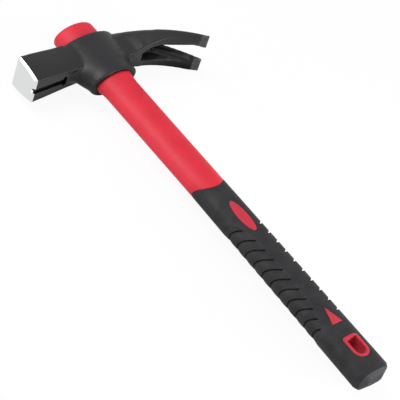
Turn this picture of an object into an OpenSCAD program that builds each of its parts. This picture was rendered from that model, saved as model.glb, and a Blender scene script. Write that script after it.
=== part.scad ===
// Claw hammer with a square poll, lying on its side.
// +X runs from the striking face to the claw, +Y from the butt to the top of the head,
// +Z up through the near cheek. The origin is under the middle of the whole tool.

/* [Head] */
// Distance from the striking face to the handle's axis
face_reach = 61.2; // [54:0.2:72]
// Height of the head at the striking face
face_h = 24; // [20:0.5:30]
// Width of the striking face at the top of the head
face_top_w = 28; // [24:0.2:32]
// Width of the striking face on the side towards the butt
face_low_w = 22.8; // [20:0.2:27]
// Chamfer round the striking face
face_chamfer = 1.3; // [0.8:0.1:2]
// Distance from the handle's axis to the narrowest part of the poll
neck_reach = 20; // [16:0.5:26]
// Width of the poll's neck at the top of the head
neck_top_w = 19; // [16:0.2:22]
// Width of the poll's neck on the side towards the butt
neck_low_w = 17.4; // [14:0.2:20]
// Rounding of the poll's upper edges
poll_top_r = 1.6; // [1:0.1:4]
// Rounding of the poll's lower edges
poll_low_r = 1.6; // [1:0.1:4]
// How far the cheeks of the poll swell outwards
cheek_swell = 0.7; // [0:0.1:1.5]

/* [Eye] */
// Length of the eye boss on each side of the handle's axis
eye_half_len = 20.4; // [18:0.2:24]
// Width of the eye boss across the cheeks
eye_w = 24.8; // [22:0.2:30]
// Drop of the collar's end below the middle of the head
collar_drop = 27.5; // [24:0.5:34]
// Rounding of the eye's upper edge
eye_top_r = 1.2; // [0.5:0.1:2]
// Rounding of the collar's outer edge
collar_r = 1.6; // [0.5:0.1:2]
// Blend between the underside of the poll and the collar
poll_fillet = 13; // [9:0.5:15]
// How far the boss reaches out along the cheeks of the poll
cheek_blend = 4.6; // [2:0.2:7]
// Blend between the claw and the collar
claw_fillet = 5; // [3:0.5:8]
// Length of the eye hole
eye_hole_len = 30.8; // [27:0.2:33]
// Width of the eye hole
eye_hole_w = 19; // [17:0.2:20.5]

/* [Claw] */
// Distance from the handle's axis to the claw's tips
claw_reach = 80.8; // [72:0.4:95]
// Drop of the claw's tips below the middle of the head
claw_drop = 31; // [24:0.2:38]
// Angle at which the top of the claw leaves the eye
claw_start_angle = 12.7; // [8:0.1:18]
// Width across the claw's tips
claw_tip_w = 36; // [32:0.2:42]
// Width of the claw at its root
claw_root_w = 22; // [20:0.2:26]
// How far the claw's outer edges bow outwards between its root and its tips
claw_bow = 1.4; // [0:0.1:1.7]
// Width of the waist between the eye and the claw
waist_w = 15.4; // [12:0.2:17]
// Distance from the handle's axis to the waist
waist_reach = 25; // [24:0.5:29]
// Distance from the handle's axis to the claw's root
root_reach = 37; // [33:0.5:38]
// Depth of the claw's root below the middle of the head
root_drop = 15.6; // [12:0.2:17]
// Thickness of the claw's edge at the tips
claw_edge = 1.2; // [0.8:0.1:2]
// Length of the ground bevel at the tips
claw_bevel = 7; // [5:0.5:10]
// Thickness of the claw where the bevel starts
bevel_thick = 5.8; // [4.5:0.1:7]
// Rounding of the claw's upper edges at the tips
claw_top_r = 1; // [0.5:0.1:2]
// Rounding of the claw's lower edges
claw_low_r = 1.4; // [0.6:0.1:2]
// Distance from the handle's axis to the closed end of the nail slit
slit_reach = 47; // [43:0.5:52]
// Width of the nail slit at its closed end
slit_root_w = 1.6; // [1:0.1:3]
// Width of the nail slit at the tips
slit_tip_w = 11.8; // [9:0.2:14]
// Depth of the ridge between the slit's walls and the scoop, at the closed end, below the top of the claw
slit_root_land = 8.6; // [7:0.2:10]
// Depth of that ridge where the ground bevel starts
slit_tip_land = 5.2; // [4:0.1:5.6]
// Height of the slit's upright walls at the tips
slit_edge_land = 1; // [0.6:0.1:1.1]
// How far the slit's walls lean out down to the ridge, at the closed end
slit_root_lean = 0.3; // [0.2:0.1:1]
// How far they lean out where the ground bevel starts
slit_tip_lean = 4; // [2:0.2:5]
// Distance from the handle's axis to the closed end of the nail head scoop
scoop_reach = 34.5; // [34:0.5:42]
// Width of the rim that is left on each side of the scoop
scoop_rim = 5.8; // [5:0.2:7]
// How far the scoop is hollowed behind a straight slope from the ridge to the rim
scoop_hollow = 2.2; // [1:0.1:3]

/* [Nail starter] */
// Width of the nail groove
groove_w = 4.6; // [3:0.1:6]
// Depth of the nail groove
groove_depth = 3; // [2:0.1:4]
// Length of the nail groove
groove_len = 26.2; // [18:0.2:30]
// Length of the nail head slot along the poll
head_slot_len = 3; // [2:0.1:4]
// Width of the nail head slot across the poll
head_slot_w = 8.4; // [8:0.2:12]
// Depth of the nail head slot
head_slot_depth = 3.3; // [3:0.1:6]
// Diameter of the magnet
magnet_d = 4; // [3:0.1:4.4]
// Height of the magnet
magnet_h = 5; // [3:0.2:7]

/* [Handle] */
// Drop of the butt's end below the middle of the head
butt_drop = 322.4; // [310:0.2:360]
// Length of the core's oval
core_len = 20; // [18:0.2:21.4]
// Width of the core's oval
core_w = 12; // [10:0.2:12.8]
// Height of the core's upper end above the middle of the head
core_top = 2; // [0:0.5:4]
// Depth of the jacket in the eye
jacket_socket = 16; // [10:0.5:20]
// Length of the jacket's oval below the collar
sleeve_top_len = 27.6; // [27:0.2:30.4]
// Width of the jacket's oval below the collar
sleeve_top_w = 17.6; // [17:0.2:18.8]
// Length of the jacket's oval at the grip
sleeve_low_len = 27.6; // [26:0.2:27.8]
// Width of the jacket's oval at the grip
sleeve_low_w = 17.6; // [16.6:0.2:17.8]
// Length of the flare that widens the jacket up to the collar
sleeve_flare = 11; // [6:0.5:16]
// Length of the jacket's oval under the grip
tang_len = 23.4; // [22.8:0.2:24]
// Width of the jacket's oval under the grip
tang_w = 14.8; // [14:0.2:15.2]
// Thickness of the jacket's closed end below the core
tang_end = 2.5; // [1.5:0.1:4]

/* [Cap] */
// Length of the cap that closes the eye
cap_len = 34.2; // [32:0.2:36]
// Width of the cap that closes the eye
cap_w = 21.9; // [20:0.1:22.2]
// Height of the cap above the head
cap_h = 14.2; // [8:0.2:18]
// Rounding of the cap's upper edge
cap_r = 3.2; // [2:0.1:5]
// Length of the cap's stem in the eye
cap_stem = 9; // [6:0.5:9.5]

/* [Grip] */
// Drop of the grip's upper edge on the claw side and the face side
grip_drop = 137.5; // [125:0.5:150]
// Further drop of the grip's upper edge on the cheeks
grip_dip = 7; // [0:0.5:10]
// Length of the grip at its upper end on each side of the handle's axis
grip_top_half = 13.9; // [13.6:0.1:15]
// Width of the grip at its upper end
grip_top_w = 17.8; // [17.4:0.2:19]
// Distance from the handle's axis to the claw side of the butt
butt_claw_half = 12.9; // [12.6:0.1:15]
// Distance from the handle's axis to the face side of the butt
butt_face_half = 16.2; // [14:0.1:18]
// Width of the butt
butt_w = 18.4; // [18:0.2:21]
// How square the grip is at the butt: 2 is an oval
butt_square = 2.7; // [2:0.1:3.4]
// Height of the butt's chamfer along the handle
butt_chamfer_h = 5.4; // [4:0.2:9]
// Depth of the butt's chamfer
butt_chamfer = 2; // [1:0.2:4]
// Height of the butt's crown
crown_h = 2.4; // [1:0.1:3.5]
// Depth of the crown's slopes, measured in from the chamfer
crown_slope = 5.4; // [3:0.2:6]
// Number of grooves across the ribbed panels
groove_count = 11; // [8:1:11]
// Distance from the grip's upper edge to the first groove
groove_start = 42.5; // [38:0.5:46]
// Distance from groove to groove
groove_pitch = 9.3; // [7:0.05:9.5]
// Width of a groove on the face side
rib_gap = 1.3; // [0.8:0.1:2.5]
// Depth of a groove on the face side
rib_depth = 0.9; // [0.4:0.1:1.2]
// Width of a notch on the claw side
notch_w = 1.8; // [1:0.1:3.5]
// Depth of a notch on the claw side
notch_depth = 1.1; // [0.4:0.1:1.2]
// How far the grooves bend towards the butt on the cheeks
groove_bend = 4; // [0:0.5:8]
// Further bend of the grooves towards the butt at their ends on the cheeks
groove_hook = 3.3; // [0:0.1:5]

/* [Inlays and hang hole] */
// Distance from the grip's upper edge to the oval inlay's middle
oval_start = 36.9; // [32:0.1:42]
// Length of the oval inlay
oval_len = 28.8; // [20:0.2:34]
// Width of the oval inlay
oval_w = 8.4; // [6:0.2:10]
// Height of the triangle's point above the butt's end
arrow_rise = 59.2; // [56:0.2:64]
// Length of the triangle
arrow_len = 14; // [10:0.2:16]
// Width of the triangle's base
arrow_w = 8.6; // [6:0.2:10]
// Height of the hang hole liner's flat end above the butt's end
liner_rise = 33.4; // [29:0.2:36]
// Length of the hang hole liner
liner_len = 18.6; // [15:0.2:19]
// Width of the hang hole liner
liner_w = 12.8; // [10:0.2:14]
// Wall of the hang hole liner
liner_wall = 2.1; // [1.5:0.1:2.6]
// How far the inlays and the liner stand out of the grip
inlay_proud = 0.25; // [0:0.05:0.6]

/* [Hidden] */

// Gap between bonded or moulded pieces
bond = 0.08;
// How far a cut runs past the face that it opens
overrun = 2;
// Gap between the core's lower end and the hang hole liner
core_clear = 4;
// How deep the web starts inside the poll and ends inside the collar
web_sink = 0.3;

head_top = face_h/2;
claw_start = eye_half_len;
tip_fall = head_top + claw_drop;
claw_run = claw_reach - claw_start;
start_fall = tan(claw_start_angle)*claw_run;
bevel_reach = claw_reach - claw_bevel;
first_groove_drop = grip_drop + groove_start;
oval_drop = grip_drop + oval_start;
arrow_drop = butt_drop - arrow_rise;
liner_drop = butt_drop - liner_rise;
core_low = liner_drop - core_clear;
cap_top = head_top + cap_h;
middle_x = (claw_reach - face_reach)/2;
middle_y = (cap_top - butt_drop)/2;
base_z = claw_tip_w/2;
panel_end_drop = first_groove_drop + groove_pitch*(groove_count - 1);

// Points round an oval, round a corner, along a cheek and across the web
oval_points = 48;
corner_steps = 5;
cheek_steps = 3;
web_steps = 16;
turns = [for (k = [0:oval_points - 1]) 360*k/oval_points];
// Places along the poll, the claw, the scoop before the slit and the slit, from end to end
poll_shares = [0, 0.25, 0.5, 0.75, 1];
waist_shares = [0, 0.25, 0.5, 0.75];
claw_shares = [0, 0.12, 0.25, 0.4, 0.55, 0.7, 0.85, 1];
scoop_shares = [0, 0.16, 0.4, 0.72];
slit_shares = [0, 0.25, 0.5, 0.75, 1];
// Fullness of the scoop's width at the places before the slit
scoop_width_shares = [0.3, 0.7, 0.9, 1];
// How much less the web's blend reaches out at its edges than in its middle
web_edge_share = 0.8;
// Largest shares of the claw's thickness that its upper and lower roundings take,
// and of its half width at the waist
top_round_share = 0.64;
low_round_share = 0.3;
full_round_share = 0.95;
// Steps of a rounded edge and of a fillet, as shares of a quarter turn
edge_shares = [0, 0.33, 0.67, 1];
fillet_shares = [0, 0.2, 0.4, 0.6, 0.8, 1];
// Places along the jacket's flare
flare_shares = [0, 0.12, 0.28, 0.5, 0.75, 1];
// Half the arc that a panel covers on each side, and the arc where its grooves run out, in degrees
face_panel_arc = 77;
claw_panel_arc = 58;
panel_fade_arc = 8;
// Where the face side's panel is widest, and how far it runs past its first and last grooves,
// as shares of the grooves' run
panel_mid_share = 0.44;
panel_top_share = 0.05;
panel_low_share = 0.08;
// Squareness of the panel's upper and lower ends: 2 is an oval
panel_top_square = 4.2;
panel_low_square = 2.4;
// Share of a groove's or a notch's width that is its floor
floor_share = 0.35;
// Share of the butt's chamfer that the cheeks get
cheek_chamfer_share = 0.2;
// Where the scoop is hollowed, as shares of its slope's height and width
hollow_share = 0.5;
hollow_out_share = 0.6;
// Half-width of the cut under the slit's upright walls, as a share of the slit's
ridge_share = 0.9;

function mix(a, b, s) = a + (b - a)*s;
function ease(s) = s*s*(3 - 2*s);
function clamp(s) = min(max(s, 0), 1);

// Closed solid through rings of equal counts, with a fan of triangles at each end
module skin(rings) {
  n = len(rings[0]);
  m = len(rings);
  ones = [for (p = rings[0]) 1];
  ends = [ones*rings[0]/n, ones*rings[m - 1]/n];
  sides = [for (i = [0:m - 2], j = [0:n - 1])
    let (a = i*n + j, b = i*n + (j + 1)%n)
      each [[a, b + n, b], [a, a + n, b + n]]];
  first = [for (j = [0:n - 1]) [m*n, j, (j + 1)%n]];
  last = [for (j = [0:n - 1]) [m*n + 1, (m - 1)*n + (j + 1)%n, (m - 1)*n + j]];
  polyhedron(concat([for (r = rings) each r], ends), concat(sides, first, last));
}

// Extrudes an outline of [x, z] points from one height on the handle up to another
module along_handle(low, high) {
  translate([0, high, 0])
    rotate([90, 0, 0])
      linear_extrude(high - low)
        children();
}

// Extrudes an outline of [x, y] points through one half of the handle
module through_half(side) {
  mirror([0, 0, side > 0 ? 0 : 1])
    linear_extrude(butt_w)
      children();
}

// Moves the tool from its handle's axis and the middle of its head to its own origin
module in_place() {
  translate([-middle_x, -middle_y, base_z])
    children();
}

function oval_outline(half_len, half_w) = [for (t = turns) [half_len*cos(t), half_w*sin(t)]];
// Ring of an oval whose claw side and face side reach differently far
function oval_ring(y, claw_half, face_half, half_w) =
  [for (t = turns) [(cos(t) > 0 ? claw_half : face_half)*cos(t), y, half_w*sin(t)]];

function corner(y, z, r, start) =
  [for (k = [0:corner_steps]) let (a = start + 90*k/corner_steps) [y + r*cos(a), z + r*sin(a)]];
function cheek(from, to, swell) =
  [for (k = [1:cheek_steps]) let (s = k/(cheek_steps + 1))
    [mix(from[0], to[0], s), mix(from[1], to[1], s) + 4*s*(1 - s)*swell]];
// Section of the head square to its length, with its upper and lower half widths and roundings
function head_section(x, top, low, top_half, low_half, top_r, low_r, swell) =
  [for (p = concat(
      corner(top - top_r, top_half - top_r, top_r, 0),
      cheek([top - top_r, top_half], [low + low_r, low_half], swell),
      corner(low + low_r, low_half - low_r, low_r, 90),
      corner(low + low_r, low_r - low_half, low_r, 180),
      cheek([low + low_r, -low_half], [top - top_r, -top_half], -swell),
      corner(top - top_r, top_r - top_half, top_r, 270)))
    [x, p[0], p[1]]];

function poll_section(x, inset) =
  let (s = ease(clamp((x + face_reach)/(face_reach - neck_reach))))
    head_section(x, head_top - inset, inset - head_top,
      mix(face_top_w, neck_top_w, s)/2 - inset, mix(face_low_w, neck_low_w, s)/2 - inset,
      poll_top_r, poll_low_r, cheek_swell);

function claw_top(x) =
  let (s = (x - claw_start)/claw_run)
    head_top - start_fall*s - (tip_fall - start_fall)*s*s;
function claw_low(x) =
  let (at_bevel = claw_top(bevel_reach) - bevel_thick,
       s = clamp((x - root_reach)/(bevel_reach - root_reach)))
    x > bevel_reach
      ? mix(at_bevel, claw_top(claw_reach) - claw_edge, (x - bevel_reach)/claw_bevel)
      : mix(-root_drop, at_bevel, s*s);
function claw_straight(x) =
  x < root_reach
    ? mix(waist_w, claw_root_w, ease((x - waist_reach)/(root_reach - waist_reach)))/2
    : mix(claw_root_w, claw_tip_w, (x - root_reach)/(claw_reach - root_reach))/2;
function claw_half(x) =
  let (s = clamp((x - root_reach)/(claw_reach - root_reach)))
    claw_straight(x) + 4*claw_bow*s*(1 - s);
function claw_section(x) =
  let (thick = claw_top(x) - claw_low(x),
       s = (x - waist_reach)/(claw_reach - waist_reach),
       top_r = min(mix(full_round_share*claw_half(x), claw_top_r, s), top_round_share*thick),
       low_r = min(claw_low_r, low_round_share*thick))
    head_section(x, claw_top(x), claw_low(x), claw_half(x), claw_half(x), top_r, low_r, 0);

// Poll, middle and claw in one run from the striking face to the tips
module head_run() {
  skin(concat(
    [poll_section(-face_reach, face_chamfer)],
    [for (s = poll_shares) poll_section(mix(face_chamfer - face_reach, -neck_reach, s), 0)],
    [for (s = waist_shares) claw_section(mix(waist_reach, root_reach, s))],
    [for (s = claw_shares) claw_section(mix(root_reach, bevel_reach, s))],
    [claw_section(claw_reach)]));
}

// How far a blend of radius r reaches out at a height above its foot
function blend_out(r, height) = r - sqrt(r*r - pow(min(max(height, 0), r), 2));
function boss_ring(y, inset) =
  let (out = eye_half_len + cheek_blend*ease(clamp((y + head_top + poll_fillet)/poll_fillet)),
       claw_out = eye_half_len + blend_out(claw_fillet, y + root_drop + claw_fillet))
    oval_ring(y, claw_out - inset, out - inset, eye_w/2 - inset);

// Oval boss of the eye from the collar to the top of the head
module eye_boss() {
  skin(concat(
    [for (s = edge_shares) boss_ring(head_top - eye_top_r*(1 - cos(90*s)), eye_top_r*(1 - sin(90*s)))],
    [for (s = fillet_shares) boss_ring(-head_top - poll_fillet*s, 0)],
    [for (s = edge_shares) boss_ring(-collar_drop + collar_r*(1 - sin(90*s)), collar_r*(1 - cos(90*s)))]));
}

// Ring of the web under the poll: bowed like the boss in front, square behind
function web_ring(y, out) =
  let (half = neck_low_w/2)
    concat([[0, y, half]],
      [for (k = [0:web_steps]) let (z = half*(1 - 2*k/web_steps))
        let (reach = eye_half_len - web_sink + out*(1 - web_edge_share*pow(z/half, 2)))
          [-reach*sqrt(1 - pow(2*z/eye_w, 2)), y, z]],
      [[0, y, -half]]);

// Web that blends the underside of the poll into the front of the collar
module poll_web() {
  foot = -head_top - poll_fillet;
  skin(concat(
    [web_ring(-head_top + web_sink, poll_fillet)],
    [for (s = fillet_shares) let (y = foot + poll_fillet*cos(90*s))
      web_ring(y, blend_out(poll_fillet, y - foot))]));
}

function slit_half(x) = mix(slit_root_w, slit_tip_w, (x - slit_reach)/(claw_reach - slit_reach))/2;

// V-shaped slit between the prongs, open at the tips
module nail_slit() {
  far = claw_reach + overrun;
  along_handle(-claw_drop - claw_bevel, head_top)
    union() {
      translate([slit_reach, 0])
        circle(d = slit_root_w, $fn = 32);
      polygon([[slit_reach, -slit_root_w/2], [far, -slit_half(far)], [far, slit_half(far)],
               [slit_reach, slit_root_w/2]]);
    }
}

// Section of the scoop: under the slit's upright walls, out along the leaning walls to the ridge,
// then to the rim
function scoop_section(x, fullness) =
  let (s = max((x - slit_reach)/(bevel_reach - slit_reach), 0),
       top = claw_top(max(x, slit_reach)),
       edge = top - mix(slit_root_land, slit_edge_land, min(s, 1)),
       ridge = top - mix(slit_root_land, slit_tip_land, s*s),
       low = min(claw_low(x), ridge),
       edge_half = ridge_share*slit_half(max(x, slit_reach)),
       ridge_half = edge_half + mix(slit_root_lean, slit_tip_lean, s*s),
       rim_half = max(fullness*(claw_straight(x) - scoop_rim), ridge_half + overrun),
       hollow = mix(ridge, low, hollow_share) + scoop_hollow*max(1 - s, 0),
       half = mix(ridge_half, rim_half, hollow_out_share))
    [[x, edge, edge_half], [x, ridge, ridge_half], [x, hollow, half],
     [x, low - overrun, rim_half + overrun], [x, low - overrun, -rim_half - overrun],
     [x, hollow, -half], [x, ridge, -ridge_half], [x, edge, -edge_half]];

// Scoop that seats a nail's head under the slit, with the leaning walls of the slit
module nail_scoop() {
  skin(concat(
    [for (k = [0:len(scoop_shares) - 1])
      scoop_section(mix(scoop_reach, slit_reach, scoop_shares[k]), scoop_width_shares[k])],
    [for (s = slit_shares) scoop_section(mix(slit_reach, bevel_reach, s), 1)],
    [scoop_section(claw_reach + overrun, 1)]));
}

// Groove, nail head slot and magnet bore on the side of the poll towards the butt
module nail_starter() {
  floor_y = groove_depth - head_top;
  slot_x = groove_len - face_reach;
  translate([-face_reach - overrun, floor_y - groove_w/2, 0]) {
    rotate([0, 90, 0])
      cylinder(d = groove_w, h = groove_len + overrun, $fn = 48);
    translate([0, -groove_depth - overrun, -groove_w/2])
      cube([groove_len + overrun, groove_depth + overrun, groove_w]);
  }
  translate([slot_x, -head_top - overrun, -head_slot_w/2])
    cube([head_slot_len, head_slot_depth + overrun, head_slot_w]);
  magnet_rod(magnet_d + 2*bond, groove_depth, magnet_h + bond);
}

// Upright rod on the magnet's axis, from below the groove's floor to a height above it
module magnet_rod(d, below, above) {
  translate([groove_len - face_reach - magnet_d, groove_depth - head_top - below, 0])
    rotate([-90, 0, 0])
      cylinder(d = d, h = below + above, $fn = 48);
}

module hammer_head() {
  color("#2b2b2d")
    in_place()
      difference() {
        union() {
          difference() {
            difference() {
              head_run();
              nail_scoop();
            }
            nail_slit();
          }
          eye_boss();
          poll_web();
        }
        along_handle(-collar_drop - overrun, head_top + overrun)
          polygon(oval_outline(eye_hole_len/2, eye_hole_w/2));
        nail_starter();
      }
}

module nail_magnet() {
  color("#8d8f94")
    in_place()
      magnet_rod(magnet_d, 0, magnet_h);
}

module core_rod(gap) {
  along_handle(-core_low - gap, core_top + gap)
    polygon(oval_outline(core_len/2 + gap, core_w/2 + gap));
}

module handle_core() {
  color("#d9cf9e")
    in_place()
      core_rod(0);
}

module eye_epoxy() {
  color("#c9a860")
    in_place()
      difference() {
        along_handle(jacket_socket - collar_drop + bond, core_top)
          polygon(oval_outline(eye_hole_len/2 - bond, eye_hole_w/2 - bond));
        along_handle(jacket_socket - collar_drop - overrun, core_top + overrun)
          polygon(oval_outline(core_len/2 + bond, core_w/2 + bond));
      }
}

// Height of the grip's upper edge at each turn: it dips on the cheeks
function edge_y(t) = -grip_drop - grip_dip*pow(sin(t), 2);
function edge_ring(half_len, half_w, gap) =
  [for (t = turns) [half_len*cos(t), edge_y(t) + gap, half_w*sin(t)]];

// Ring of the flare, from the eye's size at the collar to the jacket's own
function flare_ring(s) =
  let (half_len = mix(sleeve_top_len/2, eye_hole_len/2 - bond, pow(1 - s, 2)),
       half_w = mix(sleeve_top_w/2, eye_hole_w/2 - bond, pow(1 - s, 2)))
    oval_ring(-collar_drop - sleeve_flare*s, half_len, half_len, half_w);

module handle_jacket() {
  in_eye = [eye_hole_len/2 - bond, eye_hole_w/2 - bond];
  color("#d0222f")
    in_place()
      difference() {
        skin([
          oval_ring(jacket_socket - collar_drop, in_eye[0], in_eye[0], in_eye[1]),
          each [for (s = flare_shares) flare_ring(s)],
          edge_ring(sleeve_low_len/2, sleeve_low_w/2, bond),
          edge_ring(tang_len/2, tang_w/2, bond),
          oval_ring(-core_low - tang_end, tang_len/2, tang_len/2, tang_w/2)]);
        core_rod(bond);
        along_handle(-core_low, jacket_socket - collar_drop + overrun)
          polygon(oval_outline(core_len/2 + bond, core_w/2 + bond));
      }
}

module eye_cap() {
  color("#d0222f")
    in_place()
      union() {
        skin(concat(
          [for (s = edge_shares)
            let (inset = cap_r*(1 - sin(90*s)))
              oval_ring(cap_top - cap_r*(1 - cos(90*s)), cap_len/2 - inset, cap_len/2 - inset,
                cap_w/2 - inset)],
          [oval_ring(head_top + bond, cap_len/2, cap_len/2, cap_w/2)]));
        along_handle(head_top - cap_stem, head_top + cap_r)
          polygon(oval_outline(eye_hole_len/2 - bond, eye_hole_w/2 - bond));
      }
}

// Half the arc of the face side's panel at groove k: the panel narrows towards its ends
function panel_arc(k) =
  let (s = k/(groove_count - 1) - panel_mid_share,
       reach = s < 0 ? panel_mid_share + panel_top_share : 1 - panel_mid_share + panel_low_share,
       square = s < 0 ? panel_top_square : panel_low_square)
    face_panel_arc*pow(1 - pow(abs(s)/reach, square), 1/square);
// Depth of the ribbed panels at a turn: full inside a panel, none on the smooth bands
function panel_depth(t, arc) =
  let (from_face = abs(t - 180), from_claw = 180 - from_face)
    rib_depth*clamp((arc - from_face)/panel_fade_arc)
      + notch_depth*clamp((claw_panel_arc - from_claw)/panel_fade_arc);
// How far a groove's edge lies from the groove's drop at a turn: it bends towards the butt on the cheeks
function groove_edge(t, side) =
  groove_bend*pow(sin(t), 2) + groove_hook*pow(sin(t), 6) + side*(cos(t) > 0 ? notch_w : rib_gap)/2;
// Share of a half length at a turn whose sine or cosine is c, on an oval of the given squareness
function squared(c, square) = sign(c)*pow(abs(c), 2/square);

// Ring of the grip at a drop, with insets in length and in width and a lift off the surface
function grip_ring(drop, inset, lift) =
  let (s = (drop - grip_drop)/(butt_drop - grip_drop),
       square = mix(2, butt_square, s),
       claw_half = mix(grip_top_half, butt_claw_half, s) - inset[0] + lift,
       face_half = mix(grip_top_half, butt_face_half, s) - inset[0] + lift,
       half_w = mix(grip_top_w, butt_w, s)/2 - inset[1] + lift)
    [for (t = turns)
      [(cos(t) > 0 ? claw_half : face_half)*squared(cos(t), square), -drop, half_w*squared(sin(t), square)]];

// Ring of a groove on one side of its drop, at the rim or cut to the full depth
function groove_ring(k, side, cut) =
  let (ring = grip_ring(first_groove_drop + groove_pitch*k, [0, 0], 0), arc = panel_arc(k))
    [for (j = [0:oval_points - 1])
      let (t = turns[j], d = cut*panel_depth(t, arc))
        ring[j] - [d*cos(t), groove_edge(t, side), d*sin(t)]];

// Rings of groove k across the panels: rim, floor, floor, rim
function groove_rings(k) =
  [groove_ring(k, -1, 0), groove_ring(k, -floor_share, 1), groove_ring(k, floor_share, 1),
   groove_ring(k, 1, 0)];

module grip_body(ribbed, lift) {
  top_half = grip_top_half + lift;
  skin(concat(
    [edge_ring(top_half, grip_top_w/2 + lift, 0)],
    ribbed ? [for (k = [0:groove_count - 1]) each groove_rings(k)] : [],
    [grip_ring(panel_end_drop + groove_pitch, [0, 0], lift),
     grip_ring(butt_drop - butt_chamfer_h, [0, 0], lift),
     grip_ring(butt_drop - crown_h, [butt_chamfer, butt_chamfer*cheek_chamfer_share], lift),
     grip_ring(butt_drop, [butt_chamfer + crown_slope, crown_slope], lift)]));
}

// Outlines of the inlays and of the hang hole, drawn on the near cheek
module oval_outline_2d(gap) {
  polygon([for (t = turns)
    [(oval_w/2 + gap)*cos(t), -oval_drop + (oval_len/2 + gap)*sin(t)]]);
}

module arrow_outline_2d(gap) {
  base = -arrow_drop - arrow_len;
  polygon([[0, -arrow_drop + 2*gap], [-arrow_w/2 - gap, base - gap], [arrow_w/2 + gap, base - gap]]);
}

// D shape, flat towards the head and round towards the butt
module d_outline(inset) {
  half = liner_w/2 - inset;
  round_y = liner_w/2 - liner_drop - liner_len;
  translate([0, round_y])
    circle(r = half, $fn = 64);
  translate([-half, round_y])
    square([liner_w - 2*inset, -liner_drop - inset - round_y]);
}

module rubber_grip() {
  color("#3b3a3c")
    in_place()
      difference() {
        grip_body(true, 0);
        along_handle(-core_low - tang_end - bond, 0)
          polygon(oval_outline(tang_len/2 + bond, tang_w/2 + bond));
        for (side = [1, -1])
          through_half(side) {
            oval_outline_2d(bond);
            arrow_outline_2d(bond);
            d_outline(-bond);
          }
      }
}

// A plate of the given outline between the jacket and the grip's surface
module inlay(side) {
  color("#d0222f")
    in_place()
      intersection() {
        difference() {
          through_half(side)
            children();
          along_handle(-core_low - tang_end - bond, 0)
            polygon(oval_outline(tang_len/2 + bond, tang_w/2 + bond));
        }
        grip_body(false, inlay_proud);
      }
}

module oval_inlay_near() {
  inlay(1)
    oval_outline_2d(0);
}

module oval_inlay_far() {
  inlay(-1)
    oval_outline_2d(0);
}

module arrow_inlay_near() {
  inlay(1)
    arrow_outline_2d(0);
}

module arrow_inlay_far() {
  inlay(-1)
    arrow_outline_2d(0);
}

module hang_hole_liner() {
  color("#d0222f")
    in_place()
      intersection() {
        translate([0, 0, -butt_w])
          linear_extrude(2*butt_w)
            difference() {
              d_outline(0);
              d_outline(liner_wall);
            }
        grip_body(false, inlay_proud);
      }
}

hammer_head();
nail_magnet();
handle_core();
eye_epoxy();
handle_jacket();
eye_cap();
rubber_grip();
oval_inlay_near();
oval_inlay_far();
arrow_inlay_near();
arrow_inlay_far();
hang_hole_liner();
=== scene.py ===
"""Looks of a framing hammer: a forged head, a moulded jacket and cap, a ribbed soft grip and red inlays."""
import math

import bmesh
import bpy
from mathutils import Color, Matrix, Vector


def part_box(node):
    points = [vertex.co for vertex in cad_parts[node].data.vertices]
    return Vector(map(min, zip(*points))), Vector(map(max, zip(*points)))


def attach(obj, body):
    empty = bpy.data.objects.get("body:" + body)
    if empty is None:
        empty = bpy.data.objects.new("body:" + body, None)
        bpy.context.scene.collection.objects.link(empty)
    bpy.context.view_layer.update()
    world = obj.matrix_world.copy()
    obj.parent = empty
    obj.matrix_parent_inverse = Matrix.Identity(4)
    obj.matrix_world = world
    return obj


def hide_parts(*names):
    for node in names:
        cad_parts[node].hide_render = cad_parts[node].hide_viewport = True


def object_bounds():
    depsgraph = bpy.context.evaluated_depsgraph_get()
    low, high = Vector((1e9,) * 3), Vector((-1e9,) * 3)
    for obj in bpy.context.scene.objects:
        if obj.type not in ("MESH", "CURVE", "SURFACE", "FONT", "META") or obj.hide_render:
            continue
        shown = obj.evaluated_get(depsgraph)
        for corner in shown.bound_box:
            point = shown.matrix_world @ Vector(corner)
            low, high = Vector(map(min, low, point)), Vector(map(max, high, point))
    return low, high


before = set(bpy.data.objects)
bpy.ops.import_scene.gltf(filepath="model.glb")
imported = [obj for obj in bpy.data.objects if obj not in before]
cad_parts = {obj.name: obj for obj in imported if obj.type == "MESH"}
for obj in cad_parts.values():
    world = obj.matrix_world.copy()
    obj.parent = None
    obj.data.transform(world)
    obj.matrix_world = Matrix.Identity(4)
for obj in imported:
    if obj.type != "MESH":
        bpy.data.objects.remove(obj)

bl_info = {
    "name": "Framing hammer",
    "version": (1, 0, 0),
    "blender": (4, 5, 0),
    "location": "3D View > Sidebar > Hammer",
    "description": "Builds the looks of a framing hammer on its packed solids",
    "category": "Object",
}

MM = 0.001
# Vertices closer than this are one, and heights closer than the next are level
MERGE = 0.001 * MM
LEVEL = 0.01 * MM
CAD_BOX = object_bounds()
CORE_LOW, CORE_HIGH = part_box("handle_core")
CORE_MIDDLE = (CORE_LOW + CORE_HIGH) / 2
CORE_STANDS_UP = 2 * MM
# The pieces are modelled from the middle of the head, where the handle's axis crosses the poll's
HEAD_MIDDLE = Vector((CORE_MIDDLE.x, CORE_HIGH.y - CORE_STANDS_UP, CORE_MIDDLE.z))


def linear(code):
    """Linear colour of an sRGB hex code."""
    shares = [int(code[k:k + 2], 16) / 255 for k in (1, 3, 5)]
    return tuple(c / 12.92 if c <= 0.04045 else ((c + 0.055) / 1.055) ** 2.4 for c in shares)


def length(name, millimetres, description):
    return bpy.props.FloatProperty(
        name=name, description=description, default=millimetres * MM, unit="LENGTH", precision=5)


def down_to(name, millimetres, end):
    return length(name, millimetres, f"Distance from the head's middle to {end}")


def angle(name, degrees, description):
    return bpy.props.FloatProperty(
        name=name, description=description, default=math.radians(degrees), subtype="ANGLE")


def whole(name, number, description):
    return bpy.props.IntProperty(name=name, description=description, default=number)


def amount(name, number, description, **kind):
    return bpy.props.FloatProperty(name=name, description=description, default=number, **kind)


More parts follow.
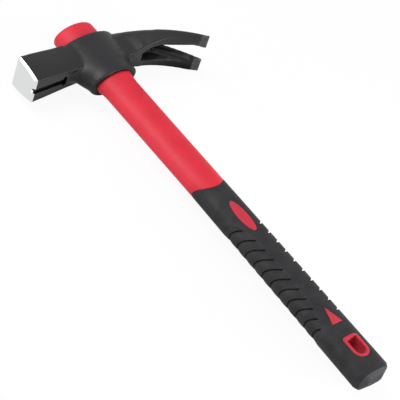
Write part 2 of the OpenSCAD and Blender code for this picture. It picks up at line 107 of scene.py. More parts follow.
def colour(name, code, description):
    return bpy.props.FloatVectorProperty(
        name=name, description=description, default=linear(code), subtype="COLOR")


class HammerHeadSizes(bpy.types.PropertyGroup):
    """Sizes of the forged head's surface"""
    voxel: length("Mesh size", 0.48, "Spacing of the head's fine mesh")
    bare_face: length("Bare face", 1.5, "Depth of the ground steel behind the striking face")
    bare_tip: length("Bare tips", 5.2, "Length of the ground steel at the claw's tips")
    tip_drop: length("Tip drop", 31, "Drop of the claw's tips below the head's middle")
    crisp_edge: angle("Crisp edge", 24, "Bend above which a convex edge keeps its line")
    soften: whole("Softening", 40, "Passes that take the facets out of the forging")
    hollow_edge: angle("Hollow edge", 5, "Bend above which a hollow is rounded out")
    hollow_reach: length("Hollow reach", 30, "Reach of the poll's rounded hollows from the handle's axis")
    hollow_depth: length("Hollow depth", 8, "Depth of the rounded hollows below the head's middle")
    hollow_rings: whole("Hollow width", 9, "Rows of the mesh beside a hollow that take part")
    hollow_passes: whole("Hollow passes", 50, "Passes that round a hollow out")
    waist_passes: whole("Waist passes", 160, "Passes that take the bends out of the claw's cheeks")


class HammerHandleSizes(bpy.types.PropertyGroup):
    """Sizes of the cap and the jacket"""
    cap_rounding: length("Cap rounding", 3.2, "Radius of the cap's upper edge")
    cap_foot: length("Cap foot", 0.4, "Radius of the cap's lower edge")
    cap_overhang: length("Cap overhang", 1.3, "How far the cap stands out past its stem")
    cap_stem: length("Cap stem", 9, "Length of the cap's stem in the eye")
    collar_drop: down_to("Collar", 27.5, "the collar's end")
    eye_length: length("Eye length", 30.64, "Length of the jacket in the eye")
    eye_width: length("Eye width", 18.84, "Width of the jacket in the eye")
    flare: length("Flare", 11, "Height over which the jacket swells up to the collar")
    shank_length: length("Jacket length", 27.6, "Length of the jacket's oval between the flare and the grip")
    shank_width: length("Jacket width", 17.6, "Width of the jacket's oval between the flare and the grip")
    edge_height: length("Edge height", 0.3, "Height of the bevel where the jacket meets the grip")
    edge_inset: length("Edge inset", 0.12, "Width of the bevel where the jacket meets the grip")
    tang_length: length("Tang length", 23.4, "Length of the jacket's oval inside the grip")
    tang_width: length("Tang width", 14.8, "Width of the jacket's oval inside the grip")
    bond: length("Bond", 0.08, "Gap between moulded pieces")


class HammerGripSizes(bpy.types.PropertyGroup):
    """Sizes of the soft grip"""
    upper_drop: down_to("Upper edge", 137.5, "the grip's upper edge")
    dip: length("Dip", 7, "Further drop of the upper edge on the cheeks")
    butt_drop: down_to("Butt", 322.4, "the butt's end")
    top_half: length("Upper half length", 13.9, "Reach of the grip's upper end on each side of the axis")
    top_width: length("Upper width", 17.8, "Width of the grip's upper end")
    claw_half: length("Butt, claw side", 12.9, "Reach of the butt on the claw side")
    face_half: length("Butt, face side", 16.2, "Reach of the butt on the face side")
    butt_width: length("Butt width", 18.4, "Width of the butt")
    butt_square: amount("Butt squareness", 2.7, "Squareness of the butt: 2 is an oval")
    first_groove: down_to("First groove", 180, "the first groove")
    pitch: length("Groove pitch", 9.3, "Distance from groove to groove")
    grooves: whole("Grooves", 11, "Number of grooves on the face side")
    notches: whole("Notches", 10, "Number of notches on the claw side")
    groove_width: length("Groove width", 1.7, "Width of a groove on the face side")
    groove_depth: length("Groove depth", 1.15, "Depth of a groove on the face side")
    notch_width: length("Notch width", 1.8, "Width of a notch on the claw side")
    notch_depth: length("Notch depth", 1.3, "Depth of a notch on the claw side")
    notch_shift: length("Notch shift", 1.6, "How far the notches lie below the grooves")
    bend: length("Groove bend", 3.95, "How far the grooves bend towards the butt on the cheeks")
    hook: length("Groove hook", 3.3, "Further bend of the grooves at their ends on the cheeks")
    pillow: length("Pillow", 0.3, "Crown of a rib between two grooves")
    recess: length("Panel recess", 0.3, "Depth of the ribbed panel below the smooth cheek")
    panel_arc: angle("Panel arc", 76.5, "Half the arc of the face side's panel")
    notch_arc: angle("Notch arc", 62, "Half the arc of the claw side's notches")


class HammerInlaySizes(bpy.types.PropertyGroup):
    """Sizes of the red inlays and of the hang hole's liner"""
    proud: length("Proud", 0.25, "How far the inlays stand out of the grip")
    rim: length("Rim", 0.15, "Rounding of an inlay's rim")
    oval_drop: down_to("Oval", 174.4, "the oval's middle")
    oval_length: length("Oval length", 28.8, "Length of the oval inlay")
    oval_width: length("Oval width", 8.4, "Width of the oval inlay")
    arrow_drop: down_to("Triangle", 263.2, "the triangle's point")
    arrow_length: length("Triangle length", 14, "Length of the triangle")
    arrow_width: length("Triangle width", 8.6, "Width of the triangle's base")
    arrow_corner: length("Triangle corner", 0.6, "How far a corner's rounding starts from the corner")
    liner_drop: down_to("Liner", 289, "the liner's flat end")
    liner_length: length("Liner length", 18.6, "Length of the hang hole's liner")
    liner_width: length("Liner width", 12.8, "Width of the hang hole's liner")
    liner_wall: length("Liner wall", 2.1, "Wall of the hang hole's liner")
    liner_corner: length("Liner corner", 2.3, "Radius of the corners at the liner's flat end")
    floor: length("Inlay floor", 7.5, "Height of an inlay's underside above the handle's mid-plane")


class HammerFinishes(bpy.types.PropertyGroup):
    """Colours of the hammer's materials"""
    lacquer: colour("Lacquer", "#1d1d1f", "Black lacquer on the forged head")
    # Painted shade: a darker lacquer colour for the head's hollows
    painted_hollow_shade: colour("Lacquer painted as shade", "#0d0d0e", "Lacquer in the head's hollows, painted darker as shade")
    # Partly wear, partly painted highlight: a paler lacquer colour along the head's convex edges
    wear_and_highlight: colour("Worn and highlit lacquer", "#4a4b4e", "Lacquer rubbed thin and painted as highlight along the head's edges")
    face_steel: colour("Face steel", "#dcdddd", "Ground steel of the striking face")
    tip_steel: colour("Tip steel", "#545558", "Ground steel of the claw's tips")
    red: colour("Red plastic", "#d8273a", "Moulded jacket and cap")
    deep_red: colour("Deep red", "#cf2336", "Red of the moulding's darker clouds")
    soft_red: colour("Soft red", "#c22b3d", "Red of the soft inlays and of the hang hole's liner")
    dusty_red: colour("Dusty red", "#ba3142", "Red of the inlays where hands have rubbed them")
    rubber: colour("Rubber", "#1f1e20", "Moulded grip")
    dusty_rubber: colour("Rubbed rubber", "#29282a", "Grip where hands have polished it")
    nickel: colour("Nickel", "#b6b4ad", "Plating of the nail magnet")
    glass: colour("Glass fibre", "#d9cf9e", "Core of the handle")
    epoxy: colour("Epoxy", "#c9a860", "Resin in the eye")


class HammerStage(bpy.types.PropertyGroup):
    """Floor, lamps and camera"""
    floor_white: colour("Floor", "#f6f6f6", "Plain pale floor")
    floor_glow: amount("Floor glow", 0.93, "Share of the floor that shows as plain white", subtype="FACTOR")
    ambient: amount("Ambient", 0.22, "Strength of the light from all sides")
    key_watts: amount("Key lamp", 12, "Power of the large soft lamp", unit="POWER")
    fill_watts: amount("Fill lamp", 5, "Power of the high lamp beyond the butt", unit="POWER")
    face_watts: amount("Face lamp", 2.5, "Power of the low lamp beyond the face", unit="POWER")
    butt_watts: amount("Butt lamp", 2, "Power of the low lamp beyond the butt", unit="POWER")
    camera_at: bpy.props.FloatVectorProperty(
        name="Camera", description="Place of the camera", subtype="XYZ", unit="LENGTH",
        default=(-0.83027, -0.58219, 1.04145))
    camera_turn: bpy.props.FloatVectorProperty(
        name="Camera turn", description="Turn of the camera", subtype="EULER", unit="ROTATION",
        default=(math.radians(42.2335), math.radians(-14.7871), math.radians(-38.3764)))
    lens: amount("Lens", 186.9, "Focal length in millimetres")


# Each lamp: its name, its side and its place from the hammer's middle, in metres
LAMPS = (
    ("key", 0.7, (-0.42, 0.6, 1.05)),
    ("fill", 0.7, (0.4, -0.9, 0.7)),
    ("face", 0.5, (-0.9, 0.4, 0.1)),
    ("butt", 0.2, (0.16, -0.4, 0.03)),
)
# Half the floor's side, and the gap that keeps it clear of the hammer
FLOOR_HALF = 6
FLOOR_GAP = 0.2 * MM


def add(tree, kind, inputs=(), **settings):
    """Adds a node with its settings, and sets or links its inputs. A node stands for its first output."""
    node = tree.nodes.new(kind)
    for key, value in settings.items():
        setattr(node, key, value)
    for key, value in dict(inputs).items():
        if isinstance(value, bpy.types.Node):
            value = value.outputs[0]
        if isinstance(value, bpy.types.NodeSocket):
            tree.links.new(value, node.inputs[key])
        else:
            node.inputs[key].default_value = (*value, 1.0) if isinstance(value, Color) else value
    return node


def finish_of(name):
    """A new material with an empty tree and its Object coordinates."""
    material = bpy.data.materials.new(name)
    material.use_nodes = True
    tree = material.node_tree
    tree.nodes.clear()
    coords = add(tree, "ShaderNodeTexCoord").outputs["Object"]
    return material, tree, coords


# Most of a noise lies between these values
SPREAD = {"From Min": 0.3, "From Max": 0.7}
# Direction of the claw's last stretch, to which the ground ends of its tips lie square
TIP_SLOPE = Vector((0.64, -0.768, 0))


# Drop-forged steel, satin black lacquer: soft sheen over a faint orange peel, paler along the edges from wear
# and painted highlight, with painted shade darkening the hollows, and with the striking face and the claw's
# tips ground bare and bright
def lacquered_forging(colours, head):
    material, tree, coords = finish_of("lacquered_forged_steel")
    low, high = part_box("hammer_head")
    at = add(tree, "ShaderNodeSeparateXYZ", {0: coords})
    edge = low.x + head.bare_face
    face = add(tree, "ShaderNodeMapRange", {
        "Value": at.outputs["X"], "From Min": edge, "From Max": edge + 0.15 * MM,
        "To Min": 1.0, "To Max": 0.0})
    # The paint's edge on the tips wanders by half a millimetre, in waves of about 3 mm
    wander = add(tree, "ShaderNodeTexNoise", {"Vector": coords, "Scale": 1 / (3 * MM), "Detail": 2.0})
    wander = add(tree, "ShaderNodeMapRange", {
        "Value": wander, **SPREAD, "To Min": -0.5 * MM, "To Max": 0.5 * MM})
    edge = Vector((high.x, HEAD_MIDDLE.y - head.tip_drop, HEAD_MIDDLE.z)).dot(TIP_SLOPE) - head.bare_tip
    along = add(tree, "ShaderNodeVectorMath", {0: coords, 1: TIP_SLOPE}, operation="DOT_PRODUCT")
    along = add(tree, "ShaderNodeMath", {0: along.outputs["Value"], 1: wander}, operation="ADD")
    tips = add(tree, "ShaderNodeMapRange", {"Value": along, "From Min": edge, "From Max": edge + 0.5 * MM})
    # Patches of lacquer about 1.5 mm across are left on the ground tips
    left_on = add(tree, "ShaderNodeTexNoise", {"Vector": coords, "Scale": 1 / (1.5 * MM), "Detail": 2.0})
    left_on = add(tree, "ShaderNodeMapRange", {
        "Value": left_on, "From Min": 0.4, "From Max": 0.6, "To Min": 0.45})
    tips = add(tree, "ShaderNodeMath", {0: tips, 1: left_on}, operation="MULTIPLY")
    # Wear and painted highlight along the edges come in patches about 5 mm long
    wear_and_highlight = add(tree, "ShaderNodeAttribute", attribute_name="worn_edge")
    rubbed = add(tree, "ShaderNodeTexNoise", {"Vector": coords, "Scale": 1 / (5 * MM), "Detail": 4.0})
    rubbed = add(tree, "ShaderNodeMapRange", {"Value": rubbed, "From Min": 0.35, "From Max": 0.65})
    wear_and_highlight = add(tree, "ShaderNodeMath", {0: wear_and_highlight.outputs["Fac"], 1: rubbed}, operation="MULTIPLY")
    # Painted shade: in hollows up to 25 mm wide the lacquer is painted darker and its specular level is
    # lowered, by ambient occlusion
    out_of_shade = add(tree, "ShaderNodeAmbientOcclusion", {"Distance": 25 * MM}, samples=8)
    out_of_shade = add(tree, "ShaderNodeMapRange", {
        "Value": out_of_shade.outputs["AO"], "From Min": 0.55, "From Max": 0.95})
    # The specular level drops in the hollows, so that their reflection is dimmed like shade
    polish = add(tree, "ShaderNodeMapRange", {"Value": out_of_shade, "To Min": 0.03, "To Max": 0.26})
    paint = add(tree, "ShaderNodeMix", {
        0: out_of_shade, 6: colours.painted_hollow_shade, 7: colours.lacquer}, data_type="RGBA").outputs[2]
    for share, tint in ((wear_and_highlight, colours.wear_and_highlight), (tips, colours.tip_steel), (face, colours.face_steel)):
        paint = add(tree, "ShaderNodeMix", {0: share, 6: paint, 7: tint}, data_type="RGBA").outputs[2]
    bare = add(tree, "ShaderNodeMath", {0: tips, 1: face}, operation="MAXIMUM")
    # Orange peel of sprayed lacquer is about 1.2 mm from crest to crest, the forging's scale marks about 4 mm
    peel = add(tree, "ShaderNodeTexNoise", {"Vector": coords, "Scale": 1 / (1.2 * MM), "Detail": 2.0})
    scale = add(tree, "ShaderNodeTexNoise", {"Vector": coords, "Scale": 1 / (4 * MM), "Detail": 3.0})
    # A grinding belt's scratches are about 0.1 mm wide; they are drawn 0.5 mm wide and 14 mm long to show
    belt = add(tree, "ShaderNodeMapping", {
        "Vector": coords, "Scale": (1 / (0.5 * MM), 1 / (0.5 * MM), 1 / (14 * MM))})
    scratches = add(tree, "ShaderNodeTexNoise", {"Vector": belt, "Scale": 1.0, "Detail": 3.0})
    grain = add(tree, "ShaderNodeMix", {0: bare, 2: peel, 3: scratches})
    gloss = add(tree, "ShaderNodeMapRange", {"Value": scale, **SPREAD, "To Min": 0.36, "To Max": 0.48})
    gloss = add(tree, "ShaderNodeMix", {0: face, 2: gloss, 3: 0.3})
    dents = add(tree, "ShaderNodeBump", {"Strength": 0.25, "Distance": 0.25 * MM, "Height": scale})
    bumps = add(tree, "ShaderNodeBump", {
        "Strength": 0.22, "Distance": 0.06 * MM, "Height": grain, "Normal": dents})
    steel = add(tree, "ShaderNodeBsdfPrincipled", {
        "Base Color": paint, "Metallic": bare, "Roughness": gloss, "Normal": bumps,
        "Specular IOR Level": polish})
    add(tree, "ShaderNodeOutputMaterial", {"Surface": steel})
    return material


def moulded_red(name, red, deep_red, dullest):
    """A red moulding, clouded between two reds, made once for each name."""
    made = bpy.data.materials.get(name)
    if made:
        return made
    material, tree, coords = finish_of(name)
    # Flow clouds are about 14 mm across and the tool's polish leaves a ripple of about 2 mm
    cloud = add(tree, "ShaderNodeTexNoise", {"Vector": coords, "Scale": 1 / (14 * MM), "Detail": 2.0})
    cloud = add(tree, "ShaderNodeMapRange", {"Value": cloud, **SPREAD})
    ripple = add(tree, "ShaderNodeTexNoise", {"Vector": coords, "Scale": 1 / (2 * MM), "Detail": 3.0})
    tint = add(tree, "ShaderNodeMix", {0: cloud, 6: red, 7: deep_red}, data_type="RGBA")
    gloss = add(tree, "ShaderNodeMapRange", {
        "Value": ripple, **SPREAD, "To Min": dullest - 0.08, "To Max": dullest})
    bumps = add(tree, "ShaderNodeBump", {"Strength": 0.12, "Distance": 0.05 * MM, "Height": ripple})
    plastic = add(tree, "ShaderNodeBsdfPrincipled", {
        "Base Color": tint.outputs[2], "Roughness": gloss, "Normal": bumps, "IOR": 1.54,
        "Specular IOR Level": 0.3})
    add(tree, "ShaderNodeOutputMaterial", {"Surface": plastic})
    return material


# Injection-moulded ABS, polished tool: even saturated red with a broad soft sheen and a faint flow cloud
def moulded_abs(colours):
    return moulded_red("moulded_red_abs", colours.red, colours.deep_red, 0.58)


# Injection-moulded soft elastomer: the same red, duller and a little greyer
def moulded_elastomer(colours):
    return moulded_red("moulded_red_elastomer", colours.soft_red, colours.dusty_red, 0.66)


# Thermoplastic rubber moulded in a spark-eroded tool: matt charcoal, finely grained, a little paler where it
# is rubbed, with fine ridges across the ribbed panels
def moulded_rubber(colours):
    material, tree, coords = finish_of("moulded_thermoplastic_rubber")
    panel = add(tree, "ShaderNodeAttribute", attribute_name="panel").outputs["Fac"]
    run = add(tree, "ShaderNodeAttribute", attribute_name="rib_run").outputs["Fac"]
    # The spark grain is about 0.2 mm; it is drawn at 0.6 mm to show
    grain = add(tree, "ShaderNodeTexNoise", {"Vector": coords, "Scale": 1 / (0.6 * MM), "Detail": 3.0})
    # Rubbed patches are about 9 mm across
    rubbed = add(tree, "ShaderNodeTexNoise", {"Vector": coords, "Scale": 1 / (9 * MM), "Detail": 3.0})
    rubbed = add(tree, "ShaderNodeMapRange", {"Value": rubbed, **SPREAD})
    # The panels' fine ridges are 0.8 mm apart; they are drawn 1.2 mm apart to show
    ridges = add(tree, "ShaderNodeMath", {0: run, 1: 2 * math.pi / (1.2 * MM)}, operation="MULTIPLY")
    ridges = add(tree, "ShaderNodeMath", {0: ridges}, operation="SINE")
    ridges = add(tree, "ShaderNodeMath", {0: ridges, 1: panel}, operation="MULTIPLY")
    black = add(tree, "ShaderNodeMix", {
        0: rubbed, 6: colours.rubber, 7: colours.dusty_rubber}, data_type="RGBA")
    matt = add(tree, "ShaderNodeMapRange", {"Value": rubbed, "To Min": 0.66, "To Max": 0.54})
    fine = add(tree, "ShaderNodeBump", {"Strength": 0.35, "Distance": 0.12 * MM, "Height": grain})
    bumps = add(tree, "ShaderNodeBump", {
        "Strength": 0.5, "Distance": 0.06 * MM, "Height": ridges, "Normal": fine})
    rubber = add(tree, "ShaderNodeBsdfPrincipled", {
        "Base Color": black.outputs[2], "Roughness": matt, "Normal": bumps, "IOR": 1.5,
        "Specular IOR Level": 0.22})
    add(tree, "ShaderNodeOutputMaterial", {"Surface": rubber})
    return material


def one_noise(name, grain, noise, tints, gloss, relief, **surface):
    """A finish whose colour, gloss and relief follow one noise, its grain and depth in millimetres."""
    material, tree, coords = finish_of(name)
    sized = add(tree, "ShaderNodeMapping", {"Vector": coords, "Scale": [1 / (size * MM) for size in grain]})
    pattern = add(tree, "ShaderNodeTexNoise", {"Vector": sized, "Scale": 1.0, **noise})
    tint = add(tree, "ShaderNodeMix", {0: pattern, 6: tints[0], 7: tints[1]}, data_type="RGBA")
    rough = add(tree, "ShaderNodeMapRange", {"Value": pattern, "To Min": gloss[0], "To Max": gloss[1]})
    bumps = add(tree, "ShaderNodeBump", {
        "Strength": relief[0], "Distance": relief[1] * MM, "Height": pattern})
    solid = add(tree, "ShaderNodeBsdfPrincipled", {
        "Base Color": tint.outputs[2], "Roughness": rough, "Normal": bumps, **surface})
    add(tree, "ShaderNodeOutputMaterial", {"Surface": solid})
    return material


# Nickel-plated neodymium: warm satin silver with a tumbled grain and paler rubbed spots
def plated_nickel(colours):
    # Tumbling leaves dimples about 0.8 mm across
    return one_noise("tumbled_nickel_plating", (0.8, 0.8, 0.8), {"Detail": 4.0},
                     (colours.nickel, colours.face_steel), (0.22, 0.46), (0.2, 0.05), Metallic=1.0)


# Pultruded glass fibre in polyester: pale straw with long rovings that run down the handle
def pultruded_glass(colours):
    # A roving shows about 0.7 mm wide and runs unbroken for about 60 mm
    return one_noise("pultruded_glass_fibre", (0.7, 60, 0.7), {"Detail": 4.0},
                     (colours.epoxy, colours.glass), (0.35, 0.6), (0.3, 0.05), IOR=1.55)


# Poured epoxy: glossy amber with slow swirls left by stirring
def poured_epoxy(colours):
    # The swirls are about 6 mm across
    return one_noise("poured_epoxy", (6, 6, 6), {"Detail": 3.0, "Distortion": 1.2},
                     (colours.epoxy, colours.glass), (0.12, 0.3), (0.15, 0.1), IOR=1.55)


def verts_of(geom):
    return [g for g in geom if isinstance(g, bmesh.types.BMVert)]


def rim_of(geom):
    return [g for g in geom if isinstance(g, bmesh.types.BMEdge) and g.is_boundary]


def rounded(bm, geom, offset, segments, affect="EDGES"):
    """Rounds edges or corners."""
    bmesh.ops.bevel(bm, geom=geom, offset=offset, offset_type="OFFSET", segments=segments, profile=0.5,
                    affect=affect, material=-1)


def reshaped(bm, kind, **settings):
    """The shape that one modifier makes of a bmesh, as a new bmesh."""
    mesh = bpy.data.meshes.new("blank")
    bm.to_mesh(mesh)
    bm.free()
    blank = bpy.data.objects.new("blank", mesh)
    bpy.context.scene.collection.objects.link(blank)
    modifier = blank.modifiers.new("shaping", kind)
    for key, value in settings.items():
        setattr(modifier, key, value)
    made = bmesh.new()
    made.from_object(blank, bpy.context.evaluated_depsgraph_get())
    bpy.data.objects.remove(blank)
    bpy.data.meshes.remove(mesh)
    return made


def hand_over(bm, name, material, node, crease=40):
    """Merges a finished shape's doubles and puts it in the CAD frame as an object that stands for a node."""
    bmesh.ops.remove_doubles(bm, verts=bm.verts, dist=MERGE)
    bmesh.ops.translate(bm, verts=bm.verts, vec=HEAD_MIDDLE)
    mesh = bpy.data.meshes.new(name)
    bm.to_mesh(mesh)
    bm.free()
    mesh.shade_smooth()
    mesh.set_sharp_from_angle(angle=math.radians(crease))
    mesh.materials.append(material)
    piece = bpy.data.objects.new(name, mesh)
    bpy.context.scene.collection.objects.link(piece)
    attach(piece, "root")
    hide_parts(node)


def clamped(share):
    return min(max(share, 0.0), 1.0)


def eased(share):
    share = clamped(share)
    return share * share * (3 - 2 * share)


def mix(a, b, share):
    return a + (b - a) * share


# Turns a shape drawn on the floor so that it stands across the handle, its second axis along +Z
ACROSS_HANDLE = Matrix.Rotation(math.radians(90), 4, "X")
# Segments of the cap's and the jacket's ovals, of the oval inlay and of the grip's loops
OVAL_SEGMENTS = 128
INLAY_SEGMENTS = 96
GRIP_SEGMENTS = 192

# Share of the way to its neighbours that a vertex goes in a pass in, and in the pass out that makes up for it
PASS_IN = 0.5
PASS_OUT = -0.52
# The claw's cheeks lie within these reaches along the head and in height, this far out from the mid-plane
CHEEK_X = (22 * MM, 52 * MM)
CHEEK_Y = (-11 * MM, 8 * MM)
CHEEK_OUT = 5 * MM
# The lacquer reaches from the face's ground chamfer to the claw's ground tips
LACQUER_X = (-58 * MM, 70 * MM)
# The eye's wall lies within this square of its oval's radius
EYE_WALL = 1.06
# Height of a vertex over its neighbours, in mesh sizes, where the edges' wear and painted highlight begin,
# and the span up to their full strength
EDGE_MARK_FROM = 0.06
EDGE_MARK_SPAN = 0.16


class HAMMER_OT_forged_head(bpy.types.Operator):
    """Meshes the head finely, softens its facets like a forging and lacquers it"""
    bl_idname = "hammer.forged_head"
    bl_label = "Forged head"

    def soften(self, bm, verts, *factors, across_only=False):
        """One pass for each factor, in all directions or only across the head."""
        for factor in factors:
            bmesh.ops.smooth_vert(bm, verts=verts, factor=factor, use_axis_x=not across_only,
                                  use_axis_y=not across_only, use_axis_z=True)

    def execute(self, context):
        head, handle = context.scene.hammer_head, context.scene.hammer_handle
        bm = bmesh.new()
        bm.from_mesh(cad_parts["hammer_head"].data)
        bmesh.ops.remove_doubles(bm, verts=bm.verts, dist=MERGE)
        bmesh.ops.translate(bm, verts=bm.verts, vec=-HEAD_MIDDLE)
        bm = reshaped(bm, "REMESH", mode="VOXEL", voxel_size=head.voxel)
        bm.normal_update()
        kept = {v for e in bm.edges if e.calc_face_angle_signed(0) > head.crisp_edge for v in e.verts}
        kept |= {v for v in bm.verts
                 if (2 * v.co.x / handle.eye_length) ** 2 + (2 * v.co.z / handle.eye_width) ** 2 < EYE_WALL}
        # A pass out after each pass in keeps the forging from shrinking
        soft = [v for v in bm.verts if v not in kept]
        self.soften(bm, soft, *(PASS_IN, PASS_OUT) * head.soften)
        # The boss and the poll's cheeks are blended like a forging's
        bm.normal_update()
        hollow = {v for e in bm.edges if e.calc_face_angle_signed(0) < -head.hollow_edge for v in e.verts
                  if -head.hollow_reach < v.co.x < 0 and v.co.y > -head.hollow_depth}
        for _ in range(head.hollow_rings):
            hollow |= {e.other_vert(v) for v in hollow for e in v.link_edges}
        blended = [v for v in soft if v in hollow]
        self.soften(bm, blended, *(PASS_IN,) * head.hollow_passes)
        # The cheeks between the boss and the claw run on without a bend
        waist = [v for v in bm.verts if CHEEK_X[0] < v.co.x < CHEEK_X[1]
                 and CHEEK_Y[0] < v.co.y < CHEEK_Y[1] and abs(v.co.z) > CHEEK_OUT]
        self.soften(bm, waist, *(PASS_IN,) * head.waist_passes, across_only=True)
        # The ground chamfer of the striking face and the ground tips stay crisp
        lacquered = [v for v in bm.verts if LACQUER_X[0] < v.co.x < LACQUER_X[1]]
        self.soften(bm, lacquered, PASS_IN, PASS_IN)
        low, high = (corner - HEAD_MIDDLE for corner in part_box("hammer_head"))
        for v in bm.verts:
            v.co = [min(max(c, a), b) for c, a, b in zip(v.co, low, high)]
        bm.normal_update()
        # Convex edges get a mask for the lacquer's wear and painted highlight
        wear_and_highlight = bm.verts.layers.float.new("worn_edge")
        for v in bm.verts:
            around = [e.other_vert(v).co for e in v.link_edges]
            height = (v.co - sum(around, Vector()) / len(around)).dot(v.normal)
            v[wear_and_highlight] = eased((height / head.voxel - EDGE_MARK_FROM) / EDGE_MARK_SPAN)
        material = lacquered_forging(context.scene.hammer_finishes, head)
        hand_over(bm, "forged_head", material, "hammer_head", crease=60)
        return {"FINISHED"}


class HAMMER_OT_eye_cap(bpy.types.Operator):
    """Moulds the oval cap that closes the eye"""
    bl_idname = "hammer.eye_cap"
    bl_label = "Eye cap"

    def execute(self, context):
        handle = context.scene.hammer_handle
        low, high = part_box("eye_cap")
        foot = low.y + handle.cap_stem + handle.bond - HEAD_MIDDLE.y
        top = high.y - HEAD_MIDDLE.y
        bm = bmesh.new()
        bmesh.ops.create_circle(bm, cap_ends=True, segments=OVAL_SEGMENTS, radius=0.5, matrix=ACROSS_HANDLE)
        bmesh.ops.scale(bm, verts=bm.verts, vec=(high.x - low.x, 1, high.z - low.z))
        bmesh.ops.translate(bm, verts=bm.verts, vec=(0, foot, 0))
        lifted = bmesh.ops.extrude_face_region(bm, geom=bm.faces[:], use_keep_orig=True)["geom"]
        bmesh.ops.translate(bm, verts=verts_of(lifted), vec=(0, top - foot, 0))
        bmesh.ops.recalc_face_normals(bm, faces=bm.faces)
        upper = [e for e in bm.edges if all(v.co.y > top - LEVEL for v in e.verts)]
        rounded(bm, upper, handle.cap_rounding, 10)
        lower = [e for e in bm.edges if all(v.co.y < foot + LEVEL for v in e.verts)]
        rounded(bm, lower, handle.cap_foot, 3)
        under = [f for f in bm.faces if f.normal.y < -0.99]
        bmesh.ops.inset_region(bm, faces=under, thickness=handle.cap_overhang)
        stem = bmesh.ops.extrude_face_region(bm, geom=under)["geom"]
        bmesh.ops.translate(bm, verts=verts_of(stem), vec=(0, -handle.cap_stem, 0))
        bmesh.ops.delete(bm, geom=under, context="FACES")
        bmesh.ops.recalc_face_normals(bm, faces=bm.faces)
        hand_over(bm, "moulded_eye_cap", moulded_abs(context.scene.hammer_finishes), "eye_cap")
        return {"FINISHED"}


class HAMMER_OT_jacket(bpy.types.Operator):
    """Moulds the oval jacket from the eye to the end of its tang in the grip"""
    bl_idname = "hammer.jacket"
    bl_label = "Handle jacket"

    def execute(self, context):
        handle, grip = context.scene.hammer_handle, context.scene.hammer_grip
        low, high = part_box("handle_jacket")
        bore = [(CORE_HIGH[k] - CORE_LOW[k]) / 2 + handle.bond for k in (0, 2)]
        bore_end = CORE_LOW.y - HEAD_MIDDLE.y - handle.bond
        top, end = high.y - HEAD_MIDDLE.y, low.y - HEAD_MIDDLE.y
        collar = -handle.collar_drop
        neck = collar - handle.flare
        eye = (handle.eye_length / 2, handle.eye_width / 2)
        shank = (handle.shank_length / 2, handle.shank_width / 2)
        tang = (handle.tang_length / 2, handle.tang_width / 2)
        edge = handle.bond - grip.upper_drop
        # Each loop: its height, its half sizes and how far it follows the dip of the grip's edge
        loops = [(bore_end, bore, 0), (top, bore, 0), (top, eye, 0), (collar, eye, 0)]
        shares = [s / 8 for s in range(1, 9)]
        for share in shares:
            swell = [mix(b, a, (1 - share) ** 2) for a, b in zip(eye, shank)]
            loops.append((mix(collar, neck, share), swell, 0))
        loops += [(mix(neck, edge, share), shank, share) for share in shares[:-1]]
        bevel = [half - handle.edge_inset for half in shank]
        loops += [(edge + handle.edge_height, shank, 1), (edge, bevel, 1), (edge, tang, 1), (end, tang, 0)]
        bm = bmesh.new()
        bmesh.ops.create_circle(bm, cap_ends=False, segments=OVAL_SEGMENTS, radius=1, matrix=ACROSS_HANDLE)
        ring, edges, before = bm.verts[:], bm.edges[:], (1, 1)
        for k, (y, half, dips) in enumerate(loops):
            if k:
                grown = bmesh.ops.extrude_edge_only(bm, edges=edges)["geom"]
                ring, edges = verts_of(grown), rim_of(grown)
            for v in ring:
                t = math.atan2(v.co.z / before[1], v.co.x / before[0])
                v.co = (half[0] * math.cos(t), y - dips * grip.dip * math.sin(t) ** 2, half[1] * math.sin(t))
            before = half
        bmesh.ops.holes_fill(bm, edges=[e for e in bm.edges if e.is_boundary], sides=0)
        bmesh.ops.recalc_face_normals(bm, faces=bm.faces)
        red = moulded_abs(context.scene.hammer_finishes)
        hand_over(bm, "moulded_jacket", red, "handle_jacket")
        return {"FINISHED"}


def grip_section(grip, drop):
    """Half sizes and squareness of the grip at a drop."""
    share = (drop - grip.upper_drop) / (grip.butt_drop - grip.upper_drop)
    return (mix(grip.top_half, grip.claw_half, share), mix(grip.top_half, grip.face_half, share),
            mix(grip.top_width, grip.butt_width, share) / 2, mix(2, grip.butt_square, share))


def grip_cheek(grip, x, y):
    """Height of the grip's near cheek above the mid-plane."""
    claw, face, half, square = grip_section(grip, -y)
    return half * (1 - min(abs(x) / (claw if x > 0 else face), 1) ** square) ** (1 / square)


# Row k of the grip is the middle of groove k
def nearest_groove(grip, row):
    return round(min(max(row, 0), grip.grooves - 1))


def groove_half(grip):
    """Half the width of a groove, in rows."""
    return grip.groove_width / grip.pitch / 2


def groove_bend(grip, turn):
    """How far the grooves lie towards the butt at a turn."""
    return grip.bend * math.sin(turn) ** 2 + grip.hook * math.sin(turn) ** 6


# The face side's panel: the row where it is widest, and for each end its reach in rows and its squareness
PANEL_MIDDLE = 4.4
PANEL_TOP = (4.9, 4.2)
PANEL_LOW = (6.4, 2.4)
# Share of the panel's reach over which its border fades, and the turn over which the notches fade
PANEL_FADE = 0.05
NOTCH_FADE = 0.15
# Shares of the half width that the walls of a groove and of a notch take up
GROOVE_WALL = 0.65
NOTCH_WALL = 0.45
# The line that arches over the panel: half its width, and its depth as a share of a groove's
ARCH_HALF = 0.55 * MM
ARCH_SHARE = 0.5


